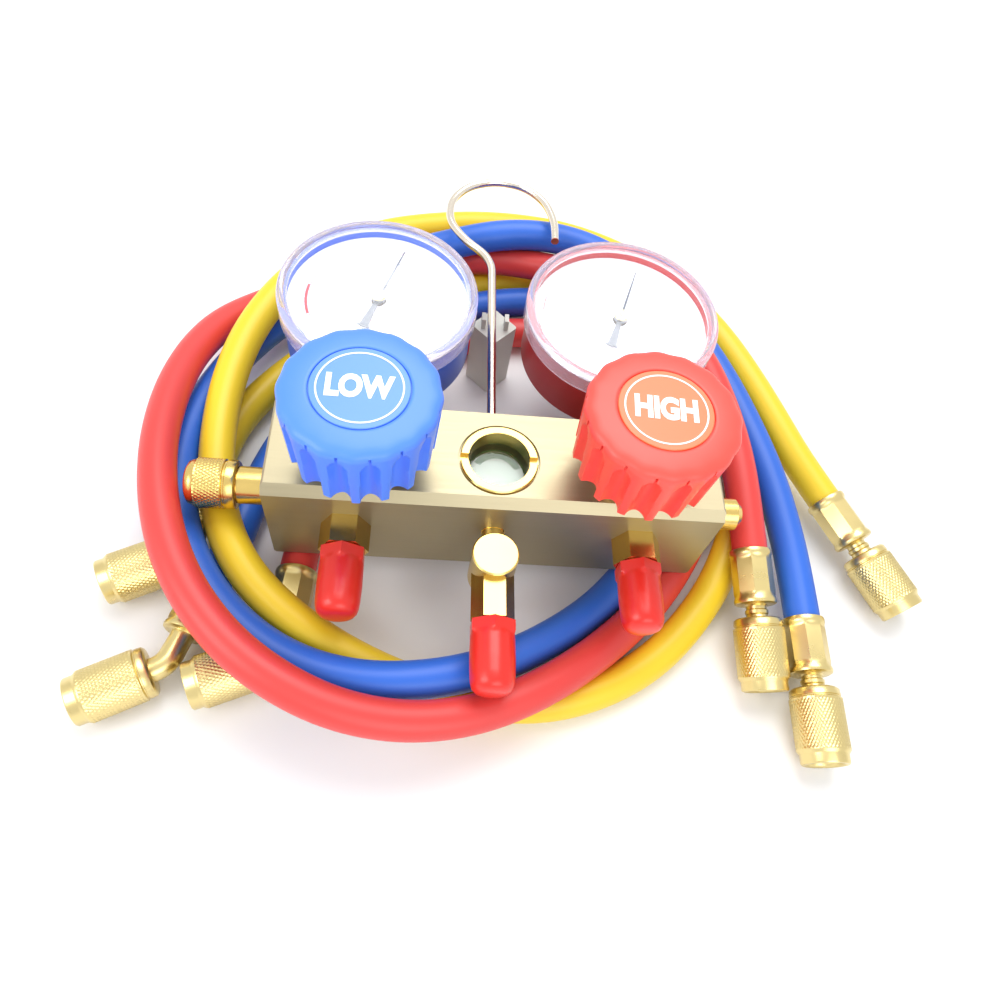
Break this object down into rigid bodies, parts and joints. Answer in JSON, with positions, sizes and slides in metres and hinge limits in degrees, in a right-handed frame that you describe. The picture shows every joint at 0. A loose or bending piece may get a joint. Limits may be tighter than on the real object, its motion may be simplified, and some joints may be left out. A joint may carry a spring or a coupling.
{
  "type": "refrigerant manifold gauge",
  "caption": "Two-valve refrigerant manifold with low and high pressure gauges, sight glass, hanging hook, capped ports and three coiled charging hoses.",
  "frame": {"origin": "centre of the valve block's flat back face", "axes": "+X to the high-pressure side, +Y to the gauges and hook, +Z out of the dials"},
  "size_m": [0.2972, 0.2444, 0.093],
  "materials": {
    "body_metal": "brushed, nickel-toned",
    "brass": "machined",
    "fitting_brass": "knurled and machined",
    "steel": "machined",
    "plated_wire": "bright plated",
    "glass": "polished",
    "gasket": "matte",
    "knob_blue": "satin",
    "knob_red": "satin",
    "label_blue": "gloss print",
    "label_red": "gloss print",
    "cap_vinyl": "satin",
    "case_blue": "satin",
    "case_red": "satin",
    "clear_plastic": "clear polycarbonate",
    "dial_white": "printed",
    "pointer_black": "matte",
    "rest_grey": "satin",
    "hose_yellow": "satin",
    "hose_blue": "satin",
    "hose_red": "satin"
  },
  "bodies": {
    "manifold": {"manifold_body": "body_metal", "low_valve_bonnet": "brass", "high_valve_bonnet": "brass", "sight_glass_ring": "brass", "sight_glass": "glass", "sight_glass_gasket": "gasket", "hook_bush": "brass", "low_port": "brass", "high_port": "brass", "centre_port": "brass", "left_end_stub": "brass", "right_end_stub": "brass", "rest_block": "rest_grey", "low_gauge_case": "case_blue", "low_gauge_cover": "clear_plastic", "low_gauge_dial": "dial_white", "low_gauge_socket": "brass", "low_bourdon_tube": "brass", "low_movement_plates": "brass", "high_gauge_case": "case_red", "high_gauge_cover": "clear_plastic", "high_gauge_dial": "dial_white", "high_gauge_socket": "brass", "high_bourdon_tube": "brass", "high_movement_plates": "brass", "yellow_hose_tube": "hose_yellow", "yellow_straight_end": "fitting_brass", "yellow_bent_end": "fitting_brass", "blue_hose_tube": "hose_blue", "blue_straight_end": "fitting_brass", "blue_bent_end": "fitting_brass", "red_hose_tube": "hose_red", "red_straight_end": "fitting_brass", "red_bent_end": "fitting_brass"},
    "low_knob": {"low_knob": "knob_blue", "low_knob_label": "label_blue", "low_knob_screw": "steel", "low_spindle": "steel"},
    "low_piston": {"low_piston": "brass"},
    "low_pointer": {"low_pointer": "pointer_black"},
    "low_sector": {"low_sector_gear": "brass"},
    "high_knob": {"high_knob": "knob_red", "high_knob_label": "label_red", "high_knob_screw": "steel", "high_spindle": "steel"},
    "high_piston": {"high_piston": "brass"},
    "high_pointer": {"high_pointer": "pointer_black"},
    "high_sector": {"high_sector_gear": "brass"},
    "hook": {"hook": "plated_wire"},
    "low_cap": {"low_port_cap": "cap_vinyl"},
    "high_cap": {"high_port_cap": "cap_vinyl"},
    "centre_cap": {"centre_port_cap": "cap_vinyl"},
    "left_end_cap": {"left_end_cap": "brass"},
    "yellow_straight_nut": {"yellow_straight_nut": "fitting_brass"},
    "yellow_bent_nut": {"yellow_bent_nut": "fitting_brass"},
    "blue_straight_nut": {"blue_straight_nut": "fitting_brass"},
    "blue_bent_nut": {"blue_bent_nut": "fitting_brass"},
    "red_straight_nut": {"red_straight_nut": "fitting_brass"},
    "red_bent_nut": {"red_bent_nut": "fitting_brass"}
  },
  "joints": [
    {"name": "low_knob_turn", "type": "hinge", "parent": "manifold", "child": "low_knob", "pos_m": [-0.043, -0.005, 0.05], "axis": [0, 0, 1], "range_deg": [0, 540]},
    {"name": "low_piston_lift", "type": "slide", "parent": "manifold", "child": "low_piston", "axis": [0, 0, 1], "range_m": [0, 0.003]},
    {"name": "low_sector_turn", "type": "hinge", "parent": "manifold", "child": "low_sector", "pos_m": [-0.043, 0.038, 0.038], "axis": [0, 0, 1], "range_deg": [-5, 45]},
    {"name": "low_pointer_turn", "type": "hinge", "parent": "manifold", "child": "low_pointer", "pos_m": [-0.043, 0.059, 0.046], "axis": [0, 0, 1], "range_deg": [-270, 30]},
    {"name": "high_knob_turn", "type": "hinge", "parent": "manifold", "child": "high_knob", "pos_m": [0.043, -0.005, 0.05], "axis": [0, 0, 1], "range_deg": [0, 540]},
    {"name": "high_piston_lift", "type": "slide", "parent": "manifold", "child": "high_piston", "axis": [0, 0, 1], "range_m": [0, 0.003]},
    {"name": "high_sector_turn", "type": "hinge", "parent": "manifold", "child": "high_sector", "pos_m": [0.043, 0.038, 0.038], "axis": [0, 0, 1], "range_deg": [0, 47]},
    {"name": "high_pointer_turn", "type": "hinge", "parent": "manifold", "child": "high_pointer", "pos_m": [0.043, 0.059, 0.046], "axis": [0, 0, 1], "range_deg": [-282, 0]},
    {"name": "hook_swivel", "type": "hinge", "parent": "manifold", "child": "hook", "pos_m": [-0.0015, 0.0175, 0.0305], "axis": [0, 1, 0], "range_deg": [-22, 6]},
    {"name": "low_cap_off", "type": "slide", "parent": "manifold", "child": "low_cap", "axis": [0, -1, 0], "range_m": [0, 0.009]},
    {"name": "high_cap_off", "type": "slide", "parent": "manifold", "child": "high_cap", "axis": [0, -1, 0], "range_m": [0, 0.045]},
    {"name": "centre_cap_off", "type": "slide", "parent": "manifold", "child": "centre_cap", "axis": [0, -1, 0], "range_m": [0, 0.045]},
    {"name": "left_end_cap_turn", "type": "hinge", "parent": "manifold", "child": "left_end_cap", "pos_m": [-0.09, -0.005, 0.0225], "axis": [1, 0, 0], "continuous": true},
    {"name": "yellow_straight_nut_turn", "type": "hinge", "parent": "manifold", "child": "yellow_straight_nut", "pos_m": [0.15014, -0.01292, -0.00392], "axis": [0.4611, -0.8834, -0.0833], "continuous": true},
    {"name": "yellow_bent_nut_turn", "type": "hinge", "parent": "manifold", "child": "yellow_bent_nut", "pos_m": [-0.11612, -0.02351, -0.00524], "axis": [-0.891, -0.454, 0], "continuous": true},
    {"name": "blue_straight_nut_turn", "type": "hinge", "parent": "manifold", "child": "blue_straight_nut", "pos_m": [0.1145, -0.06788, -0.00392], "axis": [0, -0.9965, -0.0835], "continuous": true},
    {"name": "blue_bent_nut_turn", "type": "hinge", "parent": "manifold", "child": "blue_bent_nut", "pos_m": [-0.11589, -0.06411, -0.00541], "axis": [-0.891, -0.454, 0], "continuous": true},
    {"name": "red_straight_nut_turn", "type": "hinge", "parent": "manifold", "child": "red_straight_nut", "pos_m": [0.09736, -0.04409, -0.00179], "axis": [0.039, -0.9741, -0.2227], "continuous": true},
    {"name": "red_bent_nut_turn", "type": "hinge", "parent": "manifold", "child": "red_bent_nut", "pos_m": [-0.08121, -0.05867, -0.00524], "axis": [-0.9205, -0.3907, 0], "continuous": true}
  ],
  "couplings": [
    {"joint": "low_piston_lift", "follows": "low_knob_turn", "m_per_rad": 0.00031828},
    {"joint": "low_pointer_turn", "follows": "low_sector_turn", "ratio": -6},
    {"joint": "high_piston_lift", "follows": "high_knob_turn", "m_per_rad": 0.00031828},
    {"joint": "high_pointer_turn", "follows": "high_sector_turn", "ratio": -6}
  ]
}
